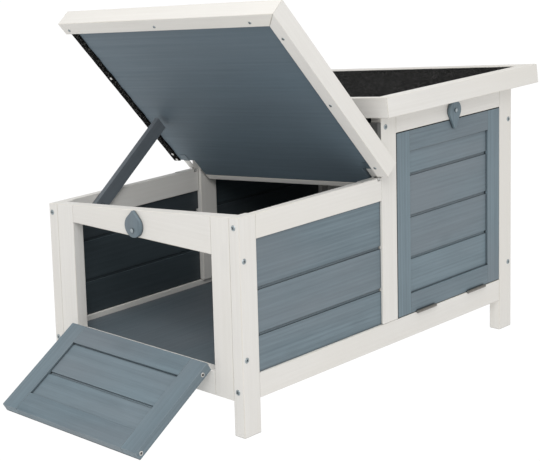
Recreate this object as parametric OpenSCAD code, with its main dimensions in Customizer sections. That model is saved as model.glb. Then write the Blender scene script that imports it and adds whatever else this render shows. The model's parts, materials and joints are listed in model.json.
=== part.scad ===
// Two-part rabbit hutch in timber: a low run with a lid on a prop, and a taller room with a fixed roof.
// Millimetres, +Z up, +X along the length from the low end, +Y from the front to the rear.
// The origin is the centre of the front left leg's foot.

/* [Overall size] */
// Length over the legs
body_len = 776; // [700:1:940]
// Depth over the legs
body_dep = 484; // [400:1:590]
// Height of the low part at its front
low_h = 378; // [350:1:460]
// Height of the tall part's posts at the front
high_h = 498.5; // [480:0.5:600]
// Length of the low part, from the end face to the middle posts
low_len = 369; // [330:1:430]
// Slope of the low part's top
low_slope = 5.4; // [3:0.1:7]
// Slope of the fixed roof
roof_slope = 6; // [3:0.1:8]

/* [Frame timber] */
// Width of a leg along the length
leg_w = 40; // [34:1:48]
// Thickness of a leg along the depth
leg_t = 23; // [19:1:28]
// Width of a middle post
post_w = 43; // [36:1:52]
// Height of a rail
rail_h = 43; // [36:1:52]
// Thickness of a rail
rail_t = 17; // [14:1:20]
// Width of an end frame's stile
stile_w = 43; // [36:1:52]
// Height of the lowest rails above the ground
base_z = 61; // [50:1:80]

/* [Boards] */
// Thickness of a wall board
board_t = 8; // [7:0.5:9]
// Width of a wall board
board_w = 79; // [66:1:95]
// Height of the first board joint above the sill
first_joint = 65.5; // [50:0.5:79]
// Width of the channel along a board joint
groove_w = 6; // [4:0.5:8]
// Depth of the channel along a board joint, on each face
groove_d = 2.4; // [1:0.1:2.6]
// Thickness of the floor board
floor_t = 8; // [6:1:12]
// Height of a floor batten
batten_h = 20; // [14:1:22]
// Thickness of the gable board
gable_t = 9; // [6:1:12]
// Height of the gable board's lower edge above the low part's top
gable_low_gap = 49; // [49:1:60]
// Gap between the gable board and the roof's left trim
gable_top_gap = 9.5; // [4:0.5:12]

/* [Roof and lid] */
// Thickness of a roof deck
deck_t = 22; // [18:1:26]
// Thickness of the roofing felt
felt_t = 2.5; // [2:0.5:3]
// Width of a roof trim
trim_w = 28; // [22:1:34]
// Width of the fixed roof's left trim
left_trim_w = 14; // [10:0.5:14]
// Drop of the fixed roof's trim below its deck
roof_trim_drop = 11; // [6:1:14]
// Rise of the fixed roof's trim above its deck's underside
roof_trim_rise = 26; // [25:0.5:32]
// Overhang of the fixed roof past the right legs
roof_right_over = 51.5; // [35:0.5:62]
// Overhang of the roofs behind the rear legs
rear_over = 34; // [25:1:42]
// Overhang of the lid past the left legs
lid_over = 57; // [45:1:68]
// Drop of the lid's trim below its deck
lid_trim_drop = 7; // [4:1:9]
// Rise of the lid's trim above its deck's underside
lid_trim_rise = 27; // [25:0.5:32]
// Width of the edging along the lid's hinge side
edging_w = 13; // [8:1:16]
// Length of deck and edging behind the lid's hinge axis
lid_tail = 31; // [22:1:34]
// Opening angle of the propped lid
lid_open = 50.8; // [30:0.1:52]

/* [Ramp and doors] */
// Thickness of the ramp and of the front door
door_t = 17; // [14:1:20]
// Height of the ramp opening's top edge
ramp_head_z = 306; // [290:1:320]
// Width of a stile of the ramp or of the front door
door_stile_w = 38; // [30:1:46]
// Height of the front door's lower rail
door_low_rail_h = 37.5; // [30:0.5:46]
// Height of the header over the front door
header_h = 46.5; // [40:0.5:56]
// Side gap between a door and its frame
door_gap = 2; // [1.5:0.1:4]

/* [Hardware] */
// Radius of a hinge barrel
barrel_r = 2.8; // [2.4:0.1:3]
// Radius of a hinge pin
pin_r = 1.2; // [1:0.1:1.4]
// Thickness of a hinge leaf
leaf_t = 0.7; // [0.5:0.05:0.7]
// Length of a ramp or door hinge along its axis
hinge_len = 56; // [50:1:80]
// Width of a hinge leaf
leaf_w = 15; // [12:1:16]
// Length of the lid hinges' leaves
lid_leaf_w = 42; // [36:1:50]
// Radius of a screw head on the frame
head_r = 5; // [3:0.5:6]
// Radius of a screw head on the lid
lid_head_r = 3; // [2:0.5:4]
// Thickness of a turn button
button_t = 6.6; // [5:0.2:8]
// Radius of the ramp's turn button
ramp_button_r = 20.5; // [17:0.5:21]
// Distance from the ramp button's pivot to its tip
ramp_button_tip = 35; // [30:0.5:35]
// Distance from the ramp button's pivot to its round end
ramp_button_low = 13; // [11:0.5:13]
// Radius of the door's turn button
door_button_r = 17.8; // [15:0.2:17.8]
// Distance from the door button's pivot to its tip
door_button_tip = 35; // [30:0.5:38]

/* [Prop] */
// Width of the prop
prop_w = 27; // [20:1:30]
// Thickness of the prop
prop_t = 10; // [8:1:12]
// Length of the prop from its pivot to its tip
prop_len = 208; // [190:1:209]
// Length of the prop behind its pivot
prop_tail = 14; // [10:1:16]
// Angle of the prop above the length axis when the lid is open
prop_angle = 39.2; // [36:0.1:42]

/* [Hidden] */

$fn = 48;
white = [0.9, 0.89, 0.87];
grey = [0.46, 0.51, 0.54];
dark = [0.2, 0.22, 0.24];
felt_black = [0.16, 0.16, 0.16];
zinc = [0.72, 0.72, 0.7];

// Allowance by which a cutter passes the faces it cuts
cut = 1;
// Gap kept between pieces that turn past each other
run_gap = 0.4;
// Radial clearance of a pin or shank in its hole
pin_gap = 0.05;
// Gap between the two leaves of a closed hinge
leaf_gap = 0.1;
// Gap between an edge and its seat, filled by the two closed leaves
fold_gap = 2 * leaf_t + leaf_gap;
// Gap between the lid's hinge side and a middle post
post_gap = 0.8;
// Gap between neighbouring barrels on one pin
knuckle_gap = 0.3;
// Gap around a barrel in its pocket
pocket_gap = 0.7;
// Half of the gap between neighbouring boards
joint_gap = 0.1;
// Length of the notch at a board joint's far end, where the tongue stops short
notch_len = 3;
// Shortest strip of board that is left beyond a joint
min_strip = 25;
// Most board joints that a wall can have
most_joints = 12;

sill_z = base_z + rail_h;
inner_y = body_dep - rail_t;
inner_x = body_len - leg_t;
post_x2 = low_len + post_w;
right_leg_x = body_len - leg_w;
stile_end = leg_t + stile_w;
rear_stile = body_dep - stile_end;
board_y = (rail_t - board_t) / 2;
end_board_x = (leg_t - board_t) / 2;
roof_x0 = low_len - left_trim_w;
roof_x1 = body_len + roof_right_over;
deck_x1 = roof_x1 - trim_w;

// Ramp and door hinge axes lie in front of the outer face, in the middle of the folded leaves
hinge_proud = 0.2;
hinge_out = barrel_r + hinge_proud;
hinge_z = sill_z + fold_gap / 2;
door_x0 = post_x2 + door_gap;
door_x1 = right_leg_x - door_gap / 2;
header_z = high_h - header_h;
door_top = header_z - door_gap * 0.75;
ramp_y0 = stile_end + door_gap * 1.5;
ramp_y1 = rear_stile - door_gap;
ramp_end = ramp_head_z - door_gap - hinge_z;
ramp_reach = sqrt(ramp_end * ramp_end + hinge_out * hinge_out);
// Angle of the resting ramp below the level, where its end just clears the ground
ground_gap_angle = 0.1;
ramp_fall = asin(hinge_z / ramp_reach) + atan2(hinge_out, ramp_end) - ground_gap_angle;

// The lid's hinge axis lies just under the rails' tops, beside the middle posts
lid_axis_in = 7;
barrel_proud = 1.2;
lid_x = low_len - lid_axis_in;
lid_sink = barrel_r - barrel_proud;
lid_seat = lid_sink + fold_gap;
lid_l1 = lid_x + lid_over;
lid_deck_l1 = lid_l1 - trim_w;
lid_deck_l0 = -(lid_tail - edging_w);
// The lid's slope moves its side faces' top edge rearwards, so the front trim stands clear of the post
lid_front_y = -(lid_seat + lid_trim_rise) * sin(low_slope) - post_gap;
lid_front_trim_w = trim_w - 1.5;
lid_trim_y = lid_front_y - lid_front_trim_w;
// Length by which the lid's end trim runs past its deck at the rear
end_trim_past = 8;
lid_rear_y = body_dep / cos(low_slope) + rear_over - end_trim_past;
// The deck's corners are cut away around the hinges
lid_notch_l = 25;
lid_notch_gap = 4;
lid_notch_y0 = leg_t + lid_notch_gap;
lid_notch_y1 = body_dep - leg_t - lid_notch_gap;
lid_hinge_in = 0.5;
lid_hinge_len = rail_t - 2 * lid_hinge_in;
// Width of the felt that is turned under a roof's rear edge
felt_wrap = 20;

// Place of the prop's pivot, from the middle post and down from the low part's top
prop_back = 265;
prop_down = 66;
prop_x = low_len - prop_back;
prop_z = low_h - prop_down;
prop_y = inner_y - run_gap - prop_t;

// Places of the turn buttons' pivots, beside the doors' middles and above their openings
ramp_button_side = 8;
ramp_button_up = 13;
door_button_side = 8.5;
door_button_up = 18.5;
ramp_button_y = body_dep / 2 + ramp_button_side;
ramp_button_z = ramp_head_z + ramp_button_up;
door_button_x = (door_x0 + door_x1) / 2 + door_button_side;
door_button_z = door_top + door_button_up;
head_t = 0.9;
pivot_head_r = 3.5;
pivot_head_t = 1.8;
shank_r = 2;
button_tip_r = 2.5;

function low_top(y) = low_h - y * tan(low_slope);
function roof_under(y) = high_h - y * tan(roof_slope);
function joints(z0, z1, first) = [
    for (i = [0 : most_joints])
        let (z = first + i * board_w)
        if (z > z0 + min_strip && z < z1 - min_strip) z
];

// Moves the hutch so that the origin is under the front left leg
module place() translate([-leg_w / 2, -leg_t / 2, 0]) children();

// A stick whose outline lies in the depth and height plane
module profile_yz(x0, x1, points) {
    translate([x0, 0, 0]) rotate([90, 0, 90]) linear_extrude(x1 - x0) polygon(points);
}

// A block from one corner to the opposite one
module block(a, b) translate(a) cube(b - a);

// A stick that runs up to a sloping top
module upright(x0, x1, y0, y1, z0, low) {
    top0 = low ? low_top(y0) : roof_under(y0);
    top1 = low ? low_top(y1) : roof_under(y1);
    profile_yz(x0, x1, [[y0, z0], [y1, z0], [y1, top1], [y0, top0]]);
}

// One board along X, with a shallow channel and an end notch along each edge that meets another board
module board(length, lo, hi, low_edge, high_edge) {
    strip = groove_w / 2;
    difference() {
        translate([0, 0, lo]) cube([length, board_t, hi - lo]);
        for (z = concat(low_edge ? [lo - cut] : [], high_edge ? [hi - strip] : [])) {
            for (y = [-cut, board_t - groove_d])
                translate([-cut, y, z]) cube([length + 2 * cut, groove_d + cut, strip + cut]);
            translate([length - notch_len, -cut, z]) cube([notch_len + cut, board_t + 2 * cut, strip + cut]);
        }
    }
}

// A wall of boards along X from height z0 to z1
module board_wall(length, z0, z1, first) {
    edges = concat([z0], joints(z0, z1, first), [z1]);
    last = len(edges) - 2;
    for (i = [0 : last]) {
        lo = edges[i] + (i > 0 ? joint_gap : 0);
        hi = edges[i + 1] - (i < last ? joint_gap : 0);
        board(length, lo, hi, i > 0, i < last);
    }
}

// One hinge leaf: axis along Y at the origin, plate towards +X with its lower face at height z
module leaf(length, width, z, barrels) {
    reach = barrel_r + run_gap;
    difference() {
        union() {
            translate([reach, 0, z]) cube([width - reach, length, leaf_t]);
            for (b = barrels) {
                translate([0, b[0], 0]) rotate([-90, 0, 0]) cylinder(h = b[1] - b[0], r = barrel_r);
                translate([0, b[0], z]) cube([reach, b[1] - b[0], leaf_t]);
            }
        }
        translate([0, -cut, 0]) rotate([-90, 0, 0]) cylinder(h = length + 2 * cut, r = pin_r + pin_gap);
    }
}

// Barrels of the fixed leaf are at the ends, and the moving leaf's is between them
module fixed_leaf(length, width, z) {
    third = (length - knuckle_gap) / 3;
    leaf(length, width, z, [[0, third], [length - third, length]]);
}

module moving_leaf(length, width, z) {
    third = (length - knuckle_gap) / 3 + knuckle_gap;
    leaf(length, width, z, [[third, length - third]]);
}

module hinge_pin(length) rotate([-90, 0, 0]) cylinder(h = length, r = pin_r);

// Screw head on a face that looks along the given axis angle
module head(p, turn, r = head_r) translate(p) rotate(turn) cylinder(h = head_t, r = r);

// Places of the two hinges along the ramp and along the door
ramp_hinge_in = 45;
door_hinge_in = 53;
function hinge_starts(a, b, inset) = [a + inset, b - inset - hinge_len];
function ramp_hinge_starts() = hinge_starts(ramp_y0, ramp_y1, ramp_hinge_in);
function door_hinge_starts() = hinge_starts(door_x0, door_x1, door_hinge_in);
module at_ramp_hinges() {
    for (y = ramp_hinge_starts()) translate([-hinge_out, y, hinge_z]) children();
}
module at_door_hinges() {
    for (x = door_hinge_starts())
        translate([x + hinge_len, -hinge_out, hinge_z]) rotate([0, 0, 90]) children();
}
// The lid hinges' leaves point towards the low end
module at_lid_axis() translate([lid_x, 0, low_h - lid_sink]) rotate([-low_slope, 0, 0]) children();
module at_lid_hinges() {
    ends = [rail_t - lid_hinge_in, body_dep / cos(low_slope) - lid_hinge_in];
    for (y = ends) translate([0, y, 0]) rotate([0, 0, 180]) children();
}

// Legs and posts
module front_left_leg() color(white) place() upright(0, leg_w, 0, leg_t, 0, true);
module rear_left_leg() color(white) place() upright(0, leg_w, body_dep - leg_t, body_dep, 0, true);
module front_right_leg() color(white) place() upright(right_leg_x, body_len, 0, leg_t, 0, false);
module rear_right_leg() {
    color(white) place() upright(right_leg_x, body_len, body_dep - leg_t, body_dep, 0, false);
}
module front_middle_post() color(white) place() upright(low_len, post_x2, 0, leg_t, sill_z, false);
module rear_middle_post() {
    color(white) place() upright(low_len, post_x2, body_dep - leg_t, body_dep, sill_z, false);
}

// Rails of the front and the rear
module front_bottom_rail() {
    color(white) place() block([leg_w, 0, base_z], [right_leg_x, rail_t, sill_z]);
}
module rear_bottom_rail() {
    color(white) place() block([leg_w, inner_y, base_z], [right_leg_x, body_dep, sill_z]);
}
// Pocket for the lid hinges' barrels
module barrel_pocket() {
    half = barrel_r + pocket_gap;
    at_lid_axis() translate([-half, -cut, -half]) cube([2 * half, body_dep + rear_over, 3 * half]);
}
module low_rail(y0, z0) {
    difference() {
        upright(leg_w, low_len, y0, y0 + rail_t, z0, true);
        barrel_pocket();
    }
}
module front_low_top_rail() color(white) place() low_rail(0, low_h - rail_h);
module rear_low_top_rail() color(white) place() low_rail(inner_y, low_top(body_dep) - rail_h);
module front_header() color(white) place() upright(post_x2, right_leg_x, 0, rail_t, header_z, false);
module rear_header() {
    color(white) place() upright(post_x2, right_leg_x, inner_y, body_dep, roof_under(body_dep) - rail_h, false);
}

// End frames
module left_front_stile() color(white) place() upright(0, leg_t, leg_t, stile_end, base_z, true);
module left_rear_stile() color(white) place() upright(0, leg_t, rear_stile, body_dep - leg_t, base_z, true);
module left_top_rail() color(white) place() upright(0, leg_t, stile_end, rear_stile, ramp_head_z, true);
module left_bottom_rail() color(white) place() block([0, stile_end, base_z], [leg_t, rear_stile, sill_z]);
module right_front_stile() color(white) place() upright(inner_x, body_len, leg_t, stile_end, base_z, false);
module right_rear_stile() {
    color(white) place() upright(inner_x, body_len, rear_stile, body_dep - leg_t, base_z, false);
}
right_head_h = 30;
right_head_z = roof_under(body_dep) - right_head_h;
module right_top_rail() {
    color(white) place() upright(inner_x, body_len, stile_end, rear_stile, right_head_z, false);
}
module right_bottom_rail() {
    color(white) place() block([inner_x, stile_end, base_z], [body_len, rear_stile, sill_z]);
}
module right_end_boards() {
    color(grey) place() translate([body_len - end_board_x, stile_end, 0]) rotate([0, 0, 90])
        board_wall(rear_stile - stile_end, sill_z, right_head_z, sill_z + first_joint);
}

// Walls, floor and gable
module front_low_boards() {
    color(grey) place() translate([leg_w, board_y, 0])
        board_wall(low_len - leg_w, sill_z, low_h - rail_h, sill_z + first_joint);
}
module rear_low_boards() {
    color(grey) place() translate([leg_w, body_dep - board_y - board_t, 0])
        board_wall(low_len - leg_w, sill_z, low_top(body_dep) - rail_h, sill_z + first_joint);
}
module rear_high_boards() {
    color(grey) place() translate([post_x2, body_dep - board_y - board_t, 0])
        board_wall(right_leg_x - post_x2, sill_z, roof_under(body_dep) - rail_h, sill_z + first_joint);
}
batten_up = 5;
floor_low = base_z + batten_up + batten_h;
module floor_board() {
    color(grey) place() difference() {
        block([leg_t, rail_t, floor_low], [inner_x, inner_y, floor_low + floor_t]);
        for (x = [0, right_leg_x])
            for (y = [0, body_dep - leg_t])
                translate([x, y, floor_low - cut]) cube([leg_w, leg_t, floor_t + 2 * cut]);
    }
}
module floor_side_battens() {
    color(white) place() for (y = [rail_t, inner_y - rail_t])
        block([leg_w, y, floor_low - batten_h], [right_leg_x, y + rail_t, floor_low]);
}
module floor_cross_battens() {
    half = rail_t / 2;
    low_z = floor_low - batten_h;
    color(white) place() for (x = [body_len / 3, body_len * 2 / 3])
        block([x - half, 2 * rail_t, low_z], [x + half, inner_y - rail_t, floor_low]);
}
module gable_board() {
    top_drop = roof_trim_drop + gable_top_gap;
    color(dark) place() profile_yz(low_len - gable_t, low_len, [
        [0, low_top(0) + gable_low_gap],
        [body_dep, low_top(body_dep) + gable_low_gap],
        [body_dep, roof_under(body_dep) - top_drop],
        [0, roof_under(0) - top_drop],
    ]);
}

// Fixed roof, drawn level and then tilted onto the posts' tops
module roof() place() translate([0, 0, high_h]) rotate([-roof_slope, 0, 0]) children();
module trim_plate(points, drop, rise) translate([0, 0, -drop]) linear_extrude(drop + rise) polygon(points);
roof_deck_y1 = body_dep / cos(roof_slope) + rear_over;
module roof_deck() color(dark) roof() block([low_len, 0, 0], [deck_x1, roof_deck_y1, deck_t]);
module roof_felt() {
    color(felt_black) roof() {
        union() {
            block([low_len, 0, deck_t], [deck_x1, roof_deck_y1 + felt_t, deck_t + felt_t]);
            block([low_len, roof_deck_y1, -felt_t], [deck_x1, roof_deck_y1 + felt_t, deck_t + felt_t]);
            block([low_len, roof_deck_y1 - felt_wrap, -felt_t], [deck_x1, roof_deck_y1 + felt_t, 0]);
        }
    }
}
roof_trim_y1 = roof_deck_y1 + felt_t;
module roof_front_trim() {
    color(white) roof() trim_plate([
        [roof_x0, -trim_w], [roof_x1, -trim_w], [deck_x1, 0], [low_len, 0],
    ], roof_trim_drop, roof_trim_rise);
}
module roof_left_trim() {
    color(white) roof() trim_plate([
        [roof_x0, -trim_w], [low_len, 0], [low_len, roof_trim_y1], [roof_x0, roof_trim_y1],
    ], roof_trim_drop, roof_trim_rise);
}
module roof_right_trim() {
    color(white) roof() trim_plate([
        [roof_x1, -trim_w], [roof_x1, roof_trim_y1], [deck_x1, roof_trim_y1], [deck_x1, 0],
    ], roof_trim_drop, roof_trim_rise);
}

// Screws on the frame's outer faces, each set in from the edges beside it
front_screw_in = 13;
rear_screw_in = 8;
side_screw_in = 10;
foot_screw_up = 17;
front_screw_down = 19;
rear_screw_down = 16;
low_screw_up = 30;
high_screw_down = 75;
post_screw_up = 16;
leg_screw_z = base_z + foot_screw_up;
rear_post_screw_z = roof_under(body_dep) - rail_h + post_screw_up;
module side_screws(x, front_z, rear_z) {
    for (z = [sill_z + low_screw_up, front_z - high_screw_down]) head([x, 0, z], [90, 0, 0]);
    for (z = [sill_z + low_screw_up, rear_z - high_screw_down]) head([x, body_dep, z], [-90, 0, 0]);
}
module end_screws(x, turn, front_z, rear_z) {
    for (z = [leg_screw_z, front_z - front_screw_down]) head([x, front_screw_in, z], [0, turn, 0]);
    for (z = [leg_screw_z, rear_z - rear_screw_down]) head([x, body_dep - rear_screw_in, z], [0, turn, 0]);
}
module frame_screws() {
    color(zinc) place() {
        end_screws(0, -90, low_h, low_top(body_dep));
        end_screws(body_len, 90, high_h, roof_under(body_dep));
        side_screws(side_screw_in, low_h, low_top(body_dep));
        side_screws(body_len - side_screw_in, high_h, roof_under(body_dep));
        head([low_len + front_screw_in, 0, header_z + post_screw_up], [90, 0, 0]);
        head([low_len + front_screw_in, body_dep, rear_post_screw_z], [-90, 0, 0]);
    }
}

// A screw with a head over a turning piece: axis along +Z from the face, through a piece of thickness t
module pivot_screw(t) {
    reach = t + 2 * run_gap;
    cylinder(h = reach, r = shank_r);
    translate([0, 0, reach]) cylinder(h = pivot_head_t, r = pivot_head_r);
}
module at_ramp_button() translate([0, ramp_button_y, ramp_button_z]) rotate([0, -90, 0]) children();
module at_door_button() translate([door_button_x, 0, door_button_z]) rotate([90, 0, 0]) children();
module at_prop() translate([prop_x, inner_y, prop_z]) rotate([90, 0, 0]) children();
module pivot_screws() {
    color(zinc) place() {
        at_ramp_button() pivot_screw(button_t);
        at_door_button() pivot_screw(button_t);
        at_prop() pivot_screw(prop_t);
    }
}

// Hinges
module lid_hinge_fixed_leaves() {
    color(zinc) place() at_lid_axis() at_lid_hinges() fixed_leaf(lid_hinge_len, lid_leaf_w, lid_sink);
}
module ramp_hinge_fixed_leaves() {
    color(zinc) place() at_ramp_hinges() fixed_leaf(hinge_len, leaf_w, -fold_gap / 2);
}
module door_hinge_fixed_leaves() {
    color(zinc) place() at_door_hinges() fixed_leaf(hinge_len, leaf_w, -fold_gap / 2);
}
module hinge_pins() {
    color(zinc) place() {
        at_lid_axis() at_lid_hinges() hinge_pin(lid_hinge_len);
        at_ramp_hinges() hinge_pin(hinge_len);
        at_door_hinges() hinge_pin(hinge_len);
    }
}

// Lid: l runs from the hinge axis to the free end, y along the axis, h up from the deck's underside
module lid() place() at_lid_axis() rotate([0, lid_open, 0]) children();
module lid_part() lid() translate([0, 0, lid_seat]) mirror([1, 0, 0]) children();
module lid_sheet(h0, h1, y1) {
    difference() {
        block([lid_deck_l0, lid_front_y, h0], [lid_deck_l1, y1, h1]);
        for (y = [lid_front_y - cut, lid_notch_y1])
            translate([lid_deck_l0 - cut, y, h0 - cut])
                cube([lid_notch_l - lid_deck_l0 + cut,
                      y < 0 ? lid_notch_y0 - lid_front_y + cut : y1 - lid_notch_y1 + cut,
                      h1 - h0 + 2 * cut]);
    }
}
module lid_deck() color(grey) lid_part() lid_sheet(0, deck_t, lid_rear_y);
module lid_felt() {
    color(felt_black) lid_part() {
        union() {
            lid_sheet(deck_t, deck_t + felt_t, lid_rear_y + felt_t);
            block([lid_notch_l, lid_rear_y, -felt_t], [lid_deck_l1, lid_rear_y + felt_t, deck_t + felt_t]);
            block([lid_notch_l, lid_rear_y - felt_wrap, -felt_t], [lid_deck_l1, lid_rear_y + felt_t, 0]);
        }
    }
}
lid_trim_y1 = lid_rear_y + end_trim_past;
module lid_end_trim() {
    color(white) lid_part() trim_plate([
        [lid_deck_l1, lid_front_y], [lid_l1, lid_trim_y], [lid_l1, lid_trim_y1], [lid_deck_l1, lid_trim_y1],
    ], lid_trim_drop, lid_trim_rise);
}
// Place of the front trim's hinge end along the lid
front_trim_start = 11;
module lid_front_trim() {
    color(white) lid_part() trim_plate([
        [front_trim_start, lid_trim_y], [lid_l1, lid_trim_y],
        [lid_deck_l1, lid_front_y], [front_trim_start, lid_front_y],
    ], lid_trim_drop, lid_trim_rise);
}
module lid_edging() {
    color(white) lid_part()
        block([-lid_tail, lid_notch_y0, 0], [lid_deck_l0, lid_notch_y1, deck_t + felt_t]);
}
module lid_hinge_leaves() {
    color(zinc) lid() at_lid_hinges() moving_leaf(lid_hinge_len, lid_leaf_w, lid_seat - leaf_t);
}
// The lid's screws go up through its trims beside the deck
lid_screw_out = 10;
lid_screw_ends = [38, 10];
lid_screw_corner = 30;
module lid_screws() {
    low_y = lid_front_y + lid_screw_ends[0];
    high_y = lid_rear_y - lid_screw_ends[1];
    high_l = lid_deck_l1 - lid_screw_corner;
    low_l = lid_notch_l + lid_screw_ends[1];
    color(zinc) lid_part() {
        for (y = [low_y, (low_y + high_y) / 2, high_y])
            head([lid_deck_l1 + lid_screw_out, y, -lid_trim_drop], [180, 0, 0], lid_head_r);
        for (l = [low_l, (low_l + high_l) / 2, high_l])
            head([l, lid_front_y - lid_screw_out, -lid_trim_drop], [180, 0, 0], lid_head_r);
    }
}
// Nails through the felt's wrap, from the lid's hinge side
nail_r = 3;
nail_in = 10;
nail_places = [4, 20, 240];
module lid_felt_nails() {
    color(zinc) lid_part() for (l = nail_places)
        head([lid_notch_l + l, lid_rear_y - nail_in, -felt_t], [180, 0, 0], nail_r);
}

// Prop, drawn along +X from its pivot
module prop() {
    color(dark) place() translate([prop_x, prop_y, prop_z]) rotate([0, -prop_angle, 0]) difference() {
        block([-prop_tail, 0, -prop_w / 2], [prop_len, prop_t, prop_w / 2]);
        translate([0, -cut, 0]) rotate([-90, 0, 0]) cylinder(h = prop_t + 2 * cut, r = shank_r + pin_gap);
    }
}

// Ramp, drawn upright in its opening about the hinge axis, then laid down
module ramp() place() translate([-hinge_out, 0, hinge_z]) rotate([0, -(90 + ramp_fall), 0]) children();
ramp_z0 = fold_gap / 2;
ramp_inner = hinge_out + door_t;
ramp_low_rail = 39;
ramp_joint = 109;
ramp_head_r = 4;
ramp_screw_places = [20, ramp_end - 8];
module ramp_stiles() {
    color(grey) ramp() for (y = [ramp_y0, ramp_y1 - door_stile_w])
        block([hinge_out, y, ramp_z0], [ramp_inner, y + door_stile_w, ramp_end]);
}
module ramp_rails() {
    color(grey) ramp() for (z = [[ramp_z0, ramp_low_rail], [ramp_end - ramp_low_rail, ramp_end]])
        block([hinge_out, ramp_y0 + door_stile_w, z[0]], [ramp_inner, ramp_y1 - door_stile_w, z[1]]);
}
module ramp_boards() {
    width = ramp_y1 - ramp_y0 - 2 * door_stile_w;
    color(grey) ramp() translate([hinge_out + door_t / 2 + board_t / 2, ramp_y0 + door_stile_w, 0])
        rotate([0, 0, 90]) board_wall(width, ramp_low_rail, ramp_end - ramp_low_rail, ramp_joint);
}
module ramp_hinge_leaves() {
    color(zinc) ramp() for (y = ramp_hinge_starts())
        translate([0, y, 0]) moving_leaf(hinge_len, leaf_w, fold_gap / 2 - leaf_t);
}
module ramp_screws() {
    color(zinc) ramp() for (z = ramp_screw_places) {
        head([hinge_out + door_t / 2, ramp_y0, z], [90, 0, 0], ramp_head_r);
        head([hinge_out + door_t / 2, ramp_y1, z], [-90, 0, 0], ramp_head_r);
    }
}

// Front door
door_z0 = sill_z + fold_gap;
door_low = door_z0 + door_low_rail_h;
door_rail_top = door_top - door_stile_w;
door_joint = door_low + first_joint + 1;
module door_stiles() {
    color(grey) place() for (x = [door_x0, door_x1 - door_stile_w])
        block([x, 0, door_z0], [x + door_stile_w, door_t, door_top]);
}
module door_rails() {
    color(grey) place() for (z = [[door_z0, door_low], [door_rail_top, door_top]])
        block([door_x0 + door_stile_w, 0, z[0]], [door_x1 - door_stile_w, door_t, z[1]]);
}
module door_boards() {
    color(grey) place() translate([door_x0 + door_stile_w, (door_t - board_t) / 2, 0])
        board_wall(door_x1 - door_x0 - 2 * door_stile_w, door_low, door_rail_top, door_joint);
}
module door_hinge_leaves() {
    color(zinc) place() at_door_hinges() moving_leaf(hinge_len, leaf_w, fold_gap / 2 - leaf_t);
}

// Turn button: a round end of radius r about centre c, and straight sides to a tip at distance d
module button(r, c, d) {
    tip = d - button_tip_r;
    bend = acos((r - button_tip_r) / (tip - c));
    translate([0, 0, run_gap]) difference() {
        linear_extrude(button_t) union() {
            translate([c, 0]) circle(r);
            translate([tip, 0]) circle(button_tip_r);
            polygon([
                [c + r * cos(bend), r * sin(bend)],
                [c + r * cos(bend), -r * sin(bend)],
                [tip + button_tip_r * cos(bend), -button_tip_r * sin(bend)],
                [tip + button_tip_r * cos(bend), button_tip_r * sin(bend)],
            ]);
        }
        translate([0, 0, -cut]) cylinder(h = button_t + 2 * cut, r = shank_r + pin_gap);
    }
}
module ramp_button() {
    centre = ramp_button_r - ramp_button_low;
    color(grey) place() at_ramp_button() button(ramp_button_r, centre, ramp_button_tip);
}
module door_button() {
    color(grey) place() at_door_button() rotate([0, 0, -90])
        button(door_button_r, 0, door_button_tip);
}

front_left_leg();
rear_left_leg();
front_right_leg();
rear_right_leg();
front_middle_post();
rear_middle_post();
front_bottom_rail();
rear_bottom_rail();
front_low_top_rail();
rear_low_top_rail();
front_header();
rear_header();
left_front_stile();
left_rear_stile();
left_top_rail();
left_bottom_rail();
right_front_stile();
right_rear_stile();
right_top_rail();
right_bottom_rail();
right_end_boards();
front_low_boards();
rear_low_boards();
rear_high_boards();
floor_board();
floor_side_battens();
floor_cross_battens();
gable_board();
roof_deck();
roof_felt();
roof_front_trim();
roof_left_trim();
roof_right_trim();
frame_screws();
pivot_screws();
hinge_pins();
lid_hinge_fixed_leaves();
ramp_hinge_fixed_leaves();
door_hinge_fixed_leaves();
lid_deck();
lid_felt();
lid_end_trim();
lid_front_trim();
lid_edging();
lid_hinge_leaves();
lid_screws();
lid_felt_nails();
prop();
ramp_stiles();
ramp_rails();
ramp_boards();
ramp_hinge_leaves();
ramp_screws();
door_stiles();
door_rails();
door_boards();
door_hinge_leaves();
ramp_button();
door_button();
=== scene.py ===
# %% [markdown]
# # A two-part rabbit hutch in painted timber
# The hutch is a small piece of carpentry: sawn sticks, grooved boards, two felted roofs and a little zinc
# hardware. The shapes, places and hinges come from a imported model, the frame. This lesson gives them
# eased edges, grain, paint, stain, felt and real screw heads, and lights them softly.

# %% Load the frame
import json
import math
import random

import bmesh
import bpy
from mathutils import Matrix, Vector


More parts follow.
